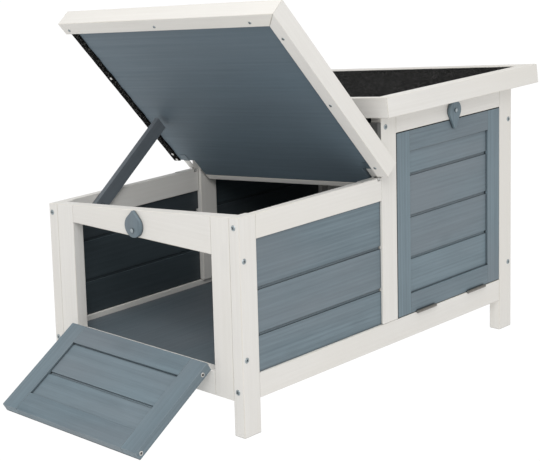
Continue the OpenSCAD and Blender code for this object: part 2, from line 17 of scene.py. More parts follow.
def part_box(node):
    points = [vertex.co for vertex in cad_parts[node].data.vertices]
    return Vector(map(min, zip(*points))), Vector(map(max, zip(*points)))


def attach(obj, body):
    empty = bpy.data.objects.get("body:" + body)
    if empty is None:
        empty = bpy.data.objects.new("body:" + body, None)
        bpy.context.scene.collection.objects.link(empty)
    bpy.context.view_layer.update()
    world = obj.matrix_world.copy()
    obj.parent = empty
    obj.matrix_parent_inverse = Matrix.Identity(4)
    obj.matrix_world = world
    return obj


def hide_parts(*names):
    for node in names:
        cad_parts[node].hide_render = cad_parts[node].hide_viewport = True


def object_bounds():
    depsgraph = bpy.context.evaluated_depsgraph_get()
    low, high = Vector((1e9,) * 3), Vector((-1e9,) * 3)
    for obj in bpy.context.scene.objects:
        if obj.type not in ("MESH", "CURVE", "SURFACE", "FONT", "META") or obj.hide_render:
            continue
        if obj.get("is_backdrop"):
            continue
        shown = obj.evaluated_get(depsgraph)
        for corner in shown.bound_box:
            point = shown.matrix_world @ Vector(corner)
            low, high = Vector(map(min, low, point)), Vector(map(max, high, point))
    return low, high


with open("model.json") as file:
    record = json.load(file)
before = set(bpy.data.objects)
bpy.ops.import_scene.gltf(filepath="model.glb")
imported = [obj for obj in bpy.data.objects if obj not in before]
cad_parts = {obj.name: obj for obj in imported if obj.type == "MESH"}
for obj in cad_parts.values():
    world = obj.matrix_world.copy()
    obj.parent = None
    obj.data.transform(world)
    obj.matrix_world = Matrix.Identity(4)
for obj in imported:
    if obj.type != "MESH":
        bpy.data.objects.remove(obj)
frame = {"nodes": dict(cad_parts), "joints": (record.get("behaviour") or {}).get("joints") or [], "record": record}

cad_box = [list(corner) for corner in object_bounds()]
MM = 0.001

# %% [markdown]
# ## The camera
# A long lens from nearly three metres away keeps the uprights nearly parallel. The hutch sits low in the
# view, so the lens is shifted instead of tilted further down, which would lean the legs more.

# %% Camera
FILM_WIDTH = 36
LENS = 103.3
SHIFT = (0.0515, -0.2095)
CAMERA_PLACE = (-1.7634, -1.71, 0.991)
CAMERA_AIM = {"azimuth": 46.0, "elevation": 10.42, "roll": 1.68}


def aim(azimuth, elevation, roll):
    az, el, ro = (math.radians(a) for a in (azimuth, elevation, roll))
    forward = Vector((math.sin(az) * math.cos(el), math.cos(az) * math.cos(el), -math.sin(el)))
    level = Vector((math.cos(az), -math.sin(az), 0))
    above = level.cross(forward)
    right = level * math.cos(ro) - above * math.sin(ro)
    up = above * math.cos(ro) + level * math.sin(ro)
    return Matrix((right, up, -forward)).transposed()


def add_camera():
    data = bpy.data.cameras.new("camera")
    data.sensor_width = FILM_WIDTH
    data.lens = LENS
    data.shift_x, data.shift_y = SHIFT
    camera = bpy.data.objects.new("camera", data)
    bpy.context.scene.collection.objects.link(camera)
    camera.matrix_world = Matrix.Translation(CAMERA_PLACE) @ aim(**CAMERA_AIM).to_4x4()
    bpy.context.scene.camera = camera
    return camera


camera = add_camera()
print("camera at", [round(v, 3) for v in camera.matrix_world.translation])

# %% [markdown]
# ## Directions of the leaning pieces
# The lid, the ramp and the roof lean, and their grain leans with them. Their directions are read from the
# joints: the hinge axis, and the closed direction turned back by the joint's range. The fixed roof's comes
# from the largest face of its deck, and the prop's from its own lean at rest.

# %% Directions of the leaning pieces
PROP_LEAN = 39.2
joints = {joint["name"]: joint for joint in frame["joints"]}


def turned(vector, joint, degrees):
    axis = Vector(joints[joint]["axis"])
    return Matrix.Rotation(math.radians(degrees), 3, axis) @ Vector(vector)


lid_y = Vector(joints["lid_hinge"]["axis"])
lid_l = turned((-1, 0, 0), "lid_hinge", -joints["lid_hinge"]["range_deg"][0])
lid_h = lid_y.cross(lid_l) * -1
if lid_h.z < 0:
    lid_h = -lid_h
ramp_l = turned((0, 0, 1), "ramp_hinge", -joints["ramp_hinge"]["range_deg"][1])
roof_fall = max(frame["nodes"]["roof_deck"].data.polygons, key=lambda face: face.area).normal
roof_h = roof_fall if roof_fall.z > 0 else -roof_fall
roof_y = roof_h.cross(Vector((1, 0, 0)))
prop_l = turned((1, 0, 0), "prop_swing", -PROP_LEAN)
SQUARE = [Vector((1, 0, 0)), Vector((0, 1, 0)), Vector((0, 0, 1))]
LINES = {
    "lid": [lid_l, lid_y],
    "ramp": [ramp_l, SQUARE[1]],
    "prop_batten": [prop_l],
    "roof": [SQUARE[0], roof_y],
}
print("lid rises", round(math.degrees(math.asin(lid_l.z)), 1), "degrees")

# %% [markdown]
# ## Grain, stick by stick
# Real grain runs along each stick and starts somewhere else on every one. Each stick stores its own wood
# coordinates in the attribute "wood": the first number runs along the grain, and a random offset makes
# every stick a different cut of the log. A second attribute, "tone", holds one number for each stick, so
# that some come out a shade lighter. Sticks are told apart as islands of joined-up points.

# %% Wood coordinates
START_ALONG = (0, 9)
START_ACROSS = (-0.12, 0.12)
START_DEEP = (-0.3, -0.1)
UPRIGHT = 0.9


def stick_line(points, lines):
    spans = [max(p.dot(d) for p in points) - min(p.dot(d) for p in points) for d in lines]
    return lines[spans.index(max(spans))]


def islands(work):
    left = set(work.verts)
    groups = []
    while left:
        start = left.pop()
        group, edge = [start], [start]
        while edge:
            vert = edge.pop()
            for link in vert.link_edges:
                other = link.other_vert(vert)
                if other in left:
                    left.discard(other)
                    group.append(other)
                    edge.append(other)
        groups.append(sorted(group, key=lambda v: v.index))
    return sorted(groups, key=lambda g: g[0].index)


def store_wood(work, seed, lines):
    wood = work.verts.layers.float_vector.new("wood")
    tone = work.verts.layers.float.new("tone")
    pick = random.Random(seed)
    for group in islands(work):
        along = stick_line([v.co for v in group], lines)
        side = along.orthogonal().normalized()
        if abs(along.z) < UPRIGHT:
            side = along.cross(Vector((0, 0, 1))).normalized()
        third = along.cross(side)
        shift = Vector([pick.uniform(*ends) for ends in (START_ALONG, START_ACROSS, START_DEEP)])
        level = pick.random()
        for v in group:
            v[wood] = Vector((v.co.dot(along), v.co.dot(side), v.co.dot(third))) + shift
            v[tone] = level


# %% [markdown]
# ## Eased edges
# A imported piece has knife edges. Planed timber has its corners taken off with a pass of sandpaper, and the
# small round catches the light. Each stick is copied, its flat faces are joined up, and its sharp edges are
# bevelled. Weighted normals keep the broad faces flat in the shading. The rounds are marked "worn", where
# the coat is thin, and the inner faces of the board walls are marked with a second mask, for a painted shade.

# %% Helpers for a new piece
def new_piece(name, mesh, material):
    piece = bpy.data.objects.new(name, mesh)
    bpy.context.scene.collection.objects.link(piece)
    mesh.materials.clear()
    mesh.materials.append(material)
    return piece


def flatten_modifiers(piece):
    bpy.context.view_layer.update()
    graph = bpy.context.evaluated_depsgraph_get()
    evaluated = piece.evaluated_get(graph)
    mesh = bpy.data.meshes.new_from_object(evaluated, preserve_all_data_layers=True, depsgraph=graph)
    piece.modifiers.clear()
    piece.data = mesh
    return piece


def body_holding(node):
    for body, nodes in frame["record"]["behaviour"]["bodies"].items():
        if node in nodes:
            return body
    raise KeyError(node)


# %% Eased copies of the timber
WELD = 0.01 * MM
FLAT_ANGLE = math.radians(1)
SHARP_ANGLE = math.radians(28)
ROUND_STEPS = 2
ROUND_FULLNESS = 0.6
# The board walls and the way each faces out; their inner faces get a painted shade.
WALLS = {
    "front_low_boards": Vector((0, -1, 0)),
    "rear_low_boards": Vector((0, 1, 0)),
    "rear_high_boards": Vector((0, 1, 0)),
    "right_end_boards": Vector((1, 0, 0)),
}


def faces_in(node, spot):
    if node not in WALLS:
        return 0.0
    low, high = (Vector(corner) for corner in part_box(node))
    return float((spot - (low + high) / 2).dot(WALLS[node]) < 0)


def eased(node, ease, material):
    work = bmesh.new()
    work.from_mesh(frame["nodes"][node].data)
    bmesh.ops.remove_doubles(work, verts=work.verts, dist=WELD)
    bmesh.ops.dissolve_limit(work, angle_limit=FLAT_ANGLE, verts=work.verts, edges=work.edges)
    worn = work.faces.layers.float.new("worn")
    # Mask of the walls' inner faces, which get a painted shade.
    inside = work.faces.layers.float.new("inside")
    sharp = [e for e in work.edges if e.is_manifold and e.calc_face_angle() > SHARP_ANGLE]
    rounds = bmesh.ops.bevel(
        work, geom=sharp, offset=ease, offset_type="OFFSET", segments=ROUND_STEPS,
        profile=ROUND_FULLNESS, affect="EDGES", clamp_overlap=True)
    for face in rounds["faces"]:
        face[worn] = 1.0
    for face in work.faces:
        face.smooth = True
        face[inside] = faces_in(node, face.calc_center_median())
    work.verts.index_update()
    family = "roof" if node.startswith("roof_") else body_holding(node)
    store_wood(work, node, LINES.get(family, SQUARE))
    mesh = bpy.data.meshes.new(node + "_eased")
    work.to_mesh(mesh)
    work.free()
    piece = new_piece(node + "_eased", mesh, material)
    weights = piece.modifiers.new("weights", "WEIGHTED_NORMAL")
    weights.mode = "FACE_AREA"
    weights.weight = 100
    flatten_modifiers(piece)
    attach(piece, body_holding(node))
    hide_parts(node)
    return piece


# %% [markdown]
# ## Painted and stained softwood
# One recipe makes every wooden finish. Stretched noise gives the long streaks and the pores, ring waves give
# the growth lines, and a sparse cell pattern gives the knots. Opaque white paint hides nearly all of it and
# keeps the relief; the blue-grey stain lets the growth lines through. First come the small helpers that
# place and join shader nodes.

# %% Node helpers
def nodes_of(name):
    material = bpy.data.materials.new(name)
    material.use_nodes = True
    tree = material.node_tree
    return material, tree, tree.nodes["Principled BSDF"]


def link(tree, a, b):
    tree.links.new(a, b)


def attribute(tree, name):
    node = tree.nodes.new("ShaderNodeAttribute")
    node.attribute_name = name
    return node


def stretched_noise(tree, source, scale, detail, rough=0.6, distortion=0.0):
    mapping = tree.nodes.new("ShaderNodeMapping")
    mapping.inputs["Scale"].default_value = scale
    link(tree, source, mapping.inputs["Vector"])
    noise = tree.nodes.new("ShaderNodeTexNoise")
    noise.inputs["Scale"].default_value = 1
    noise.inputs["Detail"].default_value = detail
    noise.inputs["Roughness"].default_value = rough
    noise.inputs["Distortion"].default_value = distortion
    link(tree, mapping.outputs["Vector"], noise.inputs["Vector"])
    return noise.outputs["Fac"]


def maths(tree, kind, a, b, c=None, clamp=False):
    node = tree.nodes.new("ShaderNodeMath")
    node.operation = kind
    node.use_clamp = clamp
    for socket, value in zip(node.inputs, (a, b, c)):
        if value is None:
            continue
        if isinstance(value, (int, float)):
            socket.default_value = value
        else:
            link(tree, value, socket)
    return node.outputs[0]


def spread(tree, value, low, high, to_low=0.0, to_high=1.0):
    node = tree.nodes.new("ShaderNodeMapRange")
    link(tree, value, node.inputs["Value"])
    for name, number in zip(("From Min", "From Max", "To Min", "To Max"), (low, high, to_low, to_high)):
        node.inputs[name].default_value = number
    return node.outputs["Result"]


def blend_colour(tree, factor, a, b):
    node = tree.nodes.new("ShaderNodeMix")
    node.data_type = "RGBA"
    if isinstance(factor, (int, float)):
        node.inputs["Factor"].default_value = factor
    else:
        link(tree, factor, node.inputs["Factor"])
    for name, value in (("A", a), ("B", b)):
        socket = [s for s in node.inputs if s.name == name and s.type == "RGBA"][0]
        if isinstance(value, tuple):
            socket.default_value = (*value, 1)
        else:
            link(tree, value, socket)
    return [s for s in node.outputs if s.type == "RGBA"][0]


# %% [markdown]
# ## Growth rings, knots and painted shade in the gaps
# A plank is a cut through rings, so bent ring waves drawn long and thin give the growth lines. Knots are the
# centres of large, stretched cells. Joints and channels on a painted wall gather dirt and hold little light:
# the ambient occlusion node measures how closed in a point is, wherever it is seen from, and darkens it.
# This is painted shade, and it stands in for the dirt in the joints as well.

# %% Growth rings, knots and painted shade in the gaps
RING_SCALE = (1.4, 46, 46)
RING_WAVES = {"Scale": 0.9, "Distortion": 5, "Detail": 3, "Detail Scale": 0.7}
KNOT_SCALE = (5, 14, 14)
KNOT_SCATTER = 0.9
KNOT_CORE, KNOT_RIM = 0.06, 0.16
GAP_SAMPLES = 8
GAP_CLOSED, GAP_OPEN = 0.35, 0.92


def growth_rings(tree, source):
    mapping = tree.nodes.new("ShaderNodeMapping")
    mapping.inputs["Scale"].default_value = RING_SCALE
    link(tree, source, mapping.inputs["Vector"])
    wave = tree.nodes.new("ShaderNodeTexWave")
    wave.wave_type = "RINGS"
    wave.rings_direction = "X"
    for socket, number in RING_WAVES.items():
        wave.inputs[socket].default_value = number
    link(tree, mapping.outputs["Vector"], wave.inputs["Vector"])
    return wave.outputs["Fac"]


def knots(tree, source):
    mapping = tree.nodes.new("ShaderNodeMapping")
    mapping.inputs["Scale"].default_value = KNOT_SCALE
    link(tree, source, mapping.inputs["Vector"])
    cells = tree.nodes.new("ShaderNodeTexVoronoi")
    cells.inputs["Scale"].default_value = 1
    cells.inputs["Randomness"].default_value = KNOT_SCATTER
    link(tree, mapping.outputs["Vector"], cells.inputs["Vector"])
    return spread(tree, cells.outputs["Distance"], KNOT_CORE, KNOT_RIM, 1, 0)


# Painted shade: darkens a colour where a point is closed in, in joints, channels and recesses.
def crevice_shade(tree, reach, darkest, closed=GAP_CLOSED, open_air=GAP_OPEN):
    node = tree.nodes.new("ShaderNodeAmbientOcclusion")
    node.samples = GAP_SAMPLES
    node.inputs["Distance"].default_value = reach
    return spread(tree, node.outputs["AO"], closed, open_air, darkest, 1.0)


# %% [markdown]
# ## The wood recipe
# The patterns are added up into one shade, which blends a deep colour into a light one. A wandering tint
# keeps broad areas from looking even. Then come the knots, the thin coat on the eased edges, the painted
# shade in the gaps, and a painted shade on the walls' inner sides, as if no light reached them.

# %% The wood recipe
STREAK_SCALE = (2.4, 130, 130)
PORE_SCALE = (24, 1100, 1100)
COAT_SCALE = (7, 18, 18)
CAST_SCALE = (2.2, 8, 8)
PORE_SHARE, COAT_SHARE, TONE_SHARE = 0.5, 0.6, 0.7
TINT_SHARE = 0.6
EDGE_SHARE = 0.6
KNOT_DEPTH = 0.45
GAP_REACH = 4.5 * MM
GAP_SHADE_LEVEL = 0.06
INNER_SHADE = 0.22
ROUGH_SWING = 0.06
PORE_HEIGHT, RING_HEIGHT, STREAK_HEIGHT = 0.5, 0.3, 0.8
RELIEF_DEPTH = 0.3 * MM


def bump_of(tree, height, strength, depth, shader):
    bump = tree.nodes.new("ShaderNodeBump")
    bump.inputs["Strength"].default_value = strength
    bump.inputs["Distance"].default_value = depth
    link(tree, height, bump.inputs["Height"])
    link(tree, bump.outputs["Normal"], shader.inputs["Normal"])


def grain_shade(tree, ring, rings, streaks, layers):
    shade = maths(tree, "MULTIPLY_ADD", ring, rings, 0.5 - rings / 2)
    for pattern, low, high, share in layers:
        swing = spread(tree, pattern, low, high, -0.5, 0.5)
        shade = maths(tree, "MULTIPLY_ADD", swing, streaks * share, shade)
    tone = attribute(tree, "tone").outputs["Fac"]
    offset = maths(tree, "SUBTRACT", tone, 0.5)
    return maths(tree, "MULTIPLY_ADD", offset, streaks * TONE_SHARE, shade, True)


def wood_finish(name, light, deep, tint, edge, rings, streaks, knot, relief, rough, darkest,
                closed=GAP_CLOSED, open_air=GAP_OPEN):
    material, tree, shader = nodes_of(name)
    wood = attribute(tree, "wood").outputs["Vector"]
    long_streaks = stretched_noise(tree, wood, STREAK_SCALE, 6, 0.7, 0.3)
    pores = stretched_noise(tree, wood, PORE_SCALE, 3, 0.6)
    coat = stretched_noise(tree, wood, COAT_SCALE, 4, 0.55)
    cast = stretched_noise(tree, wood, CAST_SCALE, 2, 0.5)
    ring = growth_rings(tree, wood)
    spot = knots(tree, wood)
    layers = (
        (long_streaks, 0.3, 0.7, 1), (pores, 0.35, 0.65, PORE_SHARE), (coat, 0.3, 0.7, COAT_SHARE))
    colour = blend_colour(tree, grain_shade(tree, ring, rings, streaks, layers), deep, light)
    warm = maths(tree, "MULTIPLY", spread(tree, cast, 0.4, 0.68), TINT_SHARE)
    colour = blend_colour(tree, warm, colour, tint)
    dark_knot = tuple(c * KNOT_DEPTH for c in deep)
    colour = blend_colour(tree, maths(tree, "MULTIPLY", spot, knot), colour, dark_knot)
    thin = maths(tree, "MULTIPLY", attribute(tree, "worn").outputs["Fac"], spread(tree, coat, 0.38, 0.62))
    colour = blend_colour(tree, maths(tree, "MULTIPLY", thin, EDGE_SHARE), colour, edge)
    # Painted shade: closed-in joints and channels are blended towards a near-black copy of the deep colour.
    shadow = crevice_shade(tree, GAP_REACH, darkest, closed, open_air)
    # Painted shade: the walls' inner faces are darkened, as if no light reached them.
    inner_side_shade = spread(tree, attribute(tree, "inside").outputs["Fac"], 0, 1, 1, INNER_SHADE)
    gap_shade_colour = tuple(c * GAP_SHADE_LEVEL for c in deep)
    colour = blend_colour(tree, maths(tree, "MULTIPLY", shadow, inner_side_shade), gap_shade_colour, colour)
    link(tree, colour, shader.inputs["Base Color"])
    sheen = spread(tree, long_streaks, 0.3, 0.7, rough + ROUGH_SWING, rough - ROUGH_SWING)
    link(tree, sheen, shader.inputs["Roughness"])
    height = maths(tree, "MULTIPLY_ADD", pores, PORE_HEIGHT, maths(tree, "MULTIPLY", ring, RING_HEIGHT))
    height = maths(tree, "MULTIPLY_ADD", long_streaks, STREAK_HEIGHT, height)
    bump_of(tree, height, relief, RELIEF_DEPTH, shader)
    return material


# %% [markdown]
# ## Six wooden finishes
# White paint covers the frame and blue-grey stain the boards and doors. The floor board and the lid's deck
# are smoother sheets, so they have fainter rings and no knots. The lid's deck is a darker copy of the stain,
# as painted shade for its underside. The prop and the roof's deck have a darker stain, and the gable's is
# nearly black: a dark stain with painted shade for the unlit gable under the roof. The painted shade in the
# joints stays light further in on white paint than on stain, and goes dark only where they close.

# %% Six wooden finishes
# On white paint the painted shade starts further into the joints than on stain, and goes dark only where they
# close.
white_paint = wood_finish(
    "white_paint", light=(0.745, 0.73, 0.70), deep=(0.67, 0.65, 0.615), tint=(0.715, 0.69, 0.64),
    edge=(0.63, 0.60, 0.53), rings=0.12, streaks=0.5, knot=0.05, relief=0.3, rough=0.55,
    darkest=0.06, closed=0.1, open_air=0.65)
grey_stain = wood_finish(
    "grey_stain", light=(0.158, 0.215, 0.248), deep=(0.108, 0.15, 0.176), tint=(0.162, 0.183, 0.203),
    edge=(0.20, 0.245, 0.262), rings=0.26, streaks=0.7, knot=0.12, relief=0.5, rough=0.55, darkest=0.16)
grey_panel = wood_finish(
    "grey_panel", light=(0.122, 0.152, 0.172), deep=(0.095, 0.122, 0.14), tint=(0.118, 0.135, 0.15),
    edge=(0.15, 0.18, 0.2), rings=0.14, streaks=0.6, knot=0.0, relief=0.3, rough=0.62, darkest=0.2)
# The lid's deck: a darker copy of the stain, painted shade for its underside, which gets little light.
lid_panel = wood_finish(
    "lid_panel", light=(0.112, 0.156, 0.188), deep=(0.086, 0.122, 0.15), tint=(0.1, 0.132, 0.158),
    edge=(0.135, 0.172, 0.2), rings=0.1, streaks=0.6, knot=0.0, relief=0.3, rough=0.62, darkest=0.2)
dark_stain = wood_finish(
    "dark_stain", light=(0.132, 0.155, 0.175), deep=(0.09, 0.107, 0.122), tint=(0.132, 0.144, 0.158),
    edge=(0.22, 0.24, 0.25), rings=0.25, streaks=0.6, knot=0.1, relief=0.5, rough=0.6, darkest=0.2)
# The gable: a dark stain, darkened further as painted shade, since it stands unlit under the roof.
gable_stain = wood_finish(
    "gable_stain", light=(0.085, 0.087, 0.085), deep=(0.055, 0.057, 0.056), tint=(0.075, 0.075, 0.073),
    edge=(0.12, 0.12, 0.118), rings=0.25, streaks=0.7, knot=0.1, relief=0.5, rough=0.6, darkest=0.2)
print("wood finishes:", [m.name for m in bpy.data.materials])

# %% [markdown]
# ## Timber pieces
# The white frame takes the larger rounds, the doors a smaller one, and the grooved boards only a touch,
# because a big round would eat the channels along their joints.

# %% Dress the timber
record_slots = {part["node"]: part["material_slot"] for part in frame["record"]["subparts"]}
FINISHES = {"white_paint": white_paint, "grey_stain": grey_stain, "dark_stain": dark_stain}
OWN_FINISH = {"lid_deck": lid_panel, "floor_board": grey_panel, "gable_board": gable_stain}
BOARD_EASE, BUTTON_EASE, DOOR_EASE, FRAME_EASE = 0.3 * MM, 1.1 * MM, 0.9 * MM, 1.4 * MM


def ease_of(node):
    if "boards" in node:
        return BOARD_EASE
    if node.endswith("button"):
        return BUTTON_EASE
    if node.startswith(("door_", "ramp_", "floor")) or node == "gable_board":
        return DOOR_EASE
    return FRAME_EASE


timber = [node for node, slot in record_slots.items() if slot in FINISHES]
for node in timber:
    finish = OWN_FINISH.get(node, FINISHES[record_slots[node]])
    eased(node, ease_of(node), finish)
print("timber pieces:", len(timber))

# %% [markdown]
# ## Roofing felt
# The felt is a thick bitumen sheet with a mineral face, black with sparse pale grains. Each grain is a cell
# of a fine cell pattern, and only the few with a high random number are pale. Bitumen has no shine to speak
# of, so the sheet is rough and nearly without gloss.

# %% Felt finish
GRAINS_PER_M = 640
PATCHES_PER_M = 9
PALE_FROM, PALE_TO, PALE_SHARE = 0.84, 0.96, 0.8
BITUMEN_DARK = (0.003, 0.003, 0.0031)
BITUMEN_WORN = (0.007, 0.007, 0.0071)
GRAIN_COLOUR = (0.125, 0.125, 0.118)
FELT_ROUGH, FELT_GLOSS = 0.95, 0.03
GRAIN_STRENGTH, GRAIN_DEPTH = 0.9, 0.6 * MM


def felt_finish():
    material, tree, shader = nodes_of("roofing_felt")
    place = tree.nodes.new("ShaderNodeTexCoord").outputs["Object"]
    grains = tree.nodes.new("ShaderNodeTexVoronoi")
    grains.inputs["Scale"].default_value = GRAINS_PER_M
    link(tree, place, grains.inputs["Vector"])
    patches = tree.nodes.new("ShaderNodeTexNoise")
    patches.inputs["Scale"].default_value = PATCHES_PER_M
    patches.inputs["Detail"].default_value = 4
    link(tree, place, patches.inputs["Vector"])
    split = tree.nodes.new("ShaderNodeSeparateColor")
    link(tree, grains.outputs["Color"], split.inputs["Color"])
    pale = spread(tree, split.outputs["Red"], PALE_FROM, PALE_TO)
    worn = spread(tree, patches.outputs["Fac"], 0.3, 0.7)
    base = blend_colour(tree, worn, BITUMEN_DARK, BITUMEN_WORN)
    colour = blend_colour(tree, maths(tree, "MULTIPLY", pale, PALE_SHARE), base, GRAIN_COLOUR)
    link(tree, colour, shader.inputs["Base Color"])
    shader.inputs["Roughness"].default_value = FELT_ROUGH
    shader.inputs["Specular IOR Level"].default_value = FELT_GLOSS
    bump_of(tree, grains.outputs["Distance"], GRAIN_STRENGTH, GRAIN_DEPTH, shader)
    return material


felt = felt_finish()
print("felt finish:", felt.name)

# %% [markdown]
# ## Laying the felt
# The sheet lies on the deck, bends over the rear edge and is nailed underneath. A swept strip with a real
# bend and a little waviness looks laid by hand, where a flat slab looks moulded. The side profile is drawn
# once, its points are repeated across the roof, and the Solidify modifier gives the sheet its thickness.

# %% Swept felt strips
FELT_THICK = 1.9 * MM
FELT_WRAP = 16 * MM
BEND_RADII = 1.6
TOP_STEPS, BEND_STEPS, WRAP_STEPS, COLUMNS = 48, 4, 5, 60
SIDE_INSET, TOP_INSET = 0.3 * MM, 0.4 * MM
RIPPLE, RAGGED_EDGE = 0.22 * MM, 0.9 * MM
LONG_WAVES, SHORT_WAVES, CROSS_WAVES, FINE_WAVES = 61, 47, 143, 97


def reach(node, line):
    spans = [v.co.dot(line) for v in frame["nodes"][node].data.vertices]
    return min(spans), max(spans)


def felt_profile(y0, y1, top, under):
    bend = FELT_THICK * BEND_RADII
    run = [(y0 + (y1 - bend - y0) * i / TOP_STEPS, top) for i in range(TOP_STEPS + 1)]
    quarter = [math.radians(90 * i / BEND_STEPS) for i in range(BEND_STEPS + 1)]
    run += [(y1 - bend + bend * math.sin(a), top - bend + bend * math.cos(a)) for a in quarter[1:]]
    low = under + bend
    run += [(y1 - bend + bend * math.cos(a), low - bend * math.sin(a)) for a in quarter]
    return run


def wavy(seed, a, b, size):
    long_wave = math.sin(a * LONG_WAVES + seed) * math.sin(b * SHORT_WAVES + seed * 2)
    return size * (long_wave + 0.5 * math.sin(a * CROSS_WAVES + b * FINE_WAVES))


def felt_strip(node, x_line, y_line, h_line, start_of):
    x1 = reach(node, x_line)[1]
    y0, y1 = reach(node, y_line)
    h0, h1 = reach(node, h_line)
    profile = felt_profile(y0, y1 - SIDE_INSET, h1 - TOP_INSET, h0 + SIDE_INSET)
    wrap_row = len(profile)
    tail = profile[-1]
    profile += [(tail[0] - FELT_WRAP * i / WRAP_STEPS, tail[1]) for i in range(1, WRAP_STEPS + 1)]
    work = bmesh.new()
    rows = []
    for j, (y, h) in enumerate(profile):
        first = start_of(y) if j < wrap_row else start_of(y1)
        row = []
        for i in range(COLUMNS + 1):
            x = first + (x1 - first) * i / COLUMNS
            ripple = wavy(3, x, y, RIPPLE)
            edge = wavy(7, x * 2, 0, RAGGED_EDGE) if j == len(profile) - 1 else 0
            row.append(work.verts.new(x_line * x + y_line * (y + edge) + h_line * (h + ripple)))
        rows.append(row)
    for a, b in zip(rows, rows[1:]):
        for i in range(COLUMNS):
            work.faces.new((a[i], a[i + 1], b[i + 1], b[i]))
    bmesh.ops.recalc_face_normals(work, faces=work.faces)
    upper = max(work.faces, key=lambda f: f.calc_center_median().dot(h_line))
    if upper.normal.dot(h_line) < 0:
        bmesh.ops.reverse_faces(work, faces=work.faces)
    for face in work.faces:
        face.smooth = True
    mesh = bpy.data.meshes.new(node + "_laid")
    work.to_mesh(mesh)
    work.free()
    piece = new_piece(node + "_laid", mesh, felt)
    wall = piece.modifiers.new("wall", "SOLIDIFY")
    wall.thickness = FELT_THICK
    wall.offset = -1
    flatten_modifiers(piece)
    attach(piece, body_holding(node))
    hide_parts(node)
    return piece


def steps_along(node, line):
    return sorted({round(v.co.dot(line), 4) for v in frame["nodes"][node].data.vertices})


deck_l = steps_along("lid_deck", lid_l)
deck_y = steps_along("lid_deck", lid_y)
notch_l, notch_y0, notch_y1 = deck_l[1], deck_y[1], deck_y[-2]


def lid_start(y):
    return deck_l[0] if notch_y0 <= y <= notch_y1 else notch_l


roof_x0 = reach("roof_felt", SQUARE[0])[0]
lid_felt = felt_strip("lid_felt", lid_l, lid_y, lid_h, lid_start)
roof_felt = felt_strip("roof_felt", SQUARE[0], roof_y, roof_h, lambda y: roof_x0)
print("felt faces:", len(lid_felt.data.polygons), len(roof_felt.data.polygons))

# %% [markdown]
# ## Zinc hardware
# Zinc plating is a dull, slightly mottled metal. The roughness wanders, because a plated part leaves the
# bath uneven and picks up fingerprints. Screws are blue-grey and metallic, the lid's hinges pale and chalky,
# and the door and ramp hinges a browned grey. The hinges, their pins and the pivot screws are small and have
# their shape already, so they keep the frame's meshes and take a new material.

# %% Zinc finish
MOTTLES_PER_M = 320
ZINC_GAP_REACH, ZINC_GAP_LIGHT = 2.5 * MM, 0.05
ZINC_SHADE_COLOUR = (0.01, 0.011, 0.012)
ROUGHER, SMOOTHER = 0.1, 0.08
CHALKY = {"dull": (0.55, 0.54, 0.52), "bright": (0.75, 0.74, 0.71), "metal": 0.25, "rough": 0.45}


def zinc_finish(name, dull, bright, metal, rough):
    material, tree, shader = nodes_of(name)
    place = tree.nodes.new("ShaderNodeTexCoord").outputs["Object"]
    mottle = tree.nodes.new("ShaderNodeTexNoise")
    mottle.inputs["Scale"].default_value = MOTTLES_PER_M
    mottle.inputs["Detail"].default_value = 3
    link(tree, place, mottle.inputs["Vector"])
    colour = blend_colour(tree, mottle.outputs["Fac"], dull, bright)
    # Painted shade: closed-in recesses, such as the crosses in the screw heads, go nearly black.
    shadow = crevice_shade(tree, ZINC_GAP_REACH, ZINC_GAP_LIGHT)
    colour = blend_colour(tree, shadow, ZINC_SHADE_COLOUR, colour)
    link(tree, colour, shader.inputs["Base Color"])
    shader.inputs["Metallic"].default_value = metal
    sheen = spread(tree, mottle.outputs["Fac"], 0.3, 0.7, rough + ROUGHER, rough - SMOOTHER)
    link(tree, sheen, shader.inputs["Roughness"])
    return material


zinc = zinc_finish("zinc_screws", (0.22, 0.26, 0.28), (0.5, 0.56, 0.58), metal=0.9, rough=0.4)
bright_zinc = zinc_finish("zinc_lid_hinges", **CHALKY)
dark_zinc = zinc_finish(
    "zinc_door_hinges", (0.15, 0.14, 0.125), (0.3, 0.285, 0.26), metal=0.75, rough=0.45)
painted_zinc = zinc_finish("zinc_lid_leaves", **CHALKY)
print("zinc finishes:", [m.name for m in (zinc, bright_zinc, dark_zinc, painted_zinc)])

# %% [markdown]
# ## Painted hinge leaves
# The lid's hinges were screwed on before the deck was painted, so each leaf is bare only as far as the
# deck's edge. The paint starts at a distance along the lid, which a dot product of the place and the lid's
# direction measures.

# %% Painted hinge leaves
# The leaves' paint has the lid deck's darker colour, so it carries the same painted shade.
LEAF_PAINT_IN_SHADE = (0.095, 0.132, 0.158)


def paint_beyond(material, line, start, colour):
    tree = material.node_tree
    shader = tree.nodes["Principled BSDF"]
    bare = shader.inputs["Base Color"].links[0].from_socket
    place = tree.nodes.new("ShaderNodeTexCoord").outputs["Object"]
    along = tree.nodes.new("ShaderNodeVectorMath")
    along.operation = "DOT_PRODUCT"
    along.inputs[1].default_value = line
    link(tree, place, along.inputs[0])
    covered = maths(tree, "GREATER_THAN", along.outputs["Value"], start)
    link(tree, blend_colour(tree, covered, bare, colour), shader.inputs["Base Color"])


paint_beyond(painted_zinc, lid_l, notch_l, LEAF_PAINT_IN_SHADE)
ZINC_OF = {
    "pivot_screws": zinc,
    "hinge_pins": zinc,
    "lid_hinge_fixed_leaves": bright_zinc,
    "lid_hinge_leaves": painted_zinc,
}
for node, slot in record_slots.items():
    if slot == "zinc_hardware":
        part = frame["nodes"][node]
        part.data.materials.clear()
        part.data.materials.append(ZINC_OF.get(node, dark_zinc))

# %% [markdown]
# ## Screw heads and felt nails
# Dozens of identical heads are the natural work of Geometry Nodes. A point stands for each head and carries
# the way it faces. The tree makes one head, a low cone, cuts a cross into it if it is a screw's, sets a copy
# on every point with its own turn of the driver, and realizes them into one mesh. Nails stay plain.

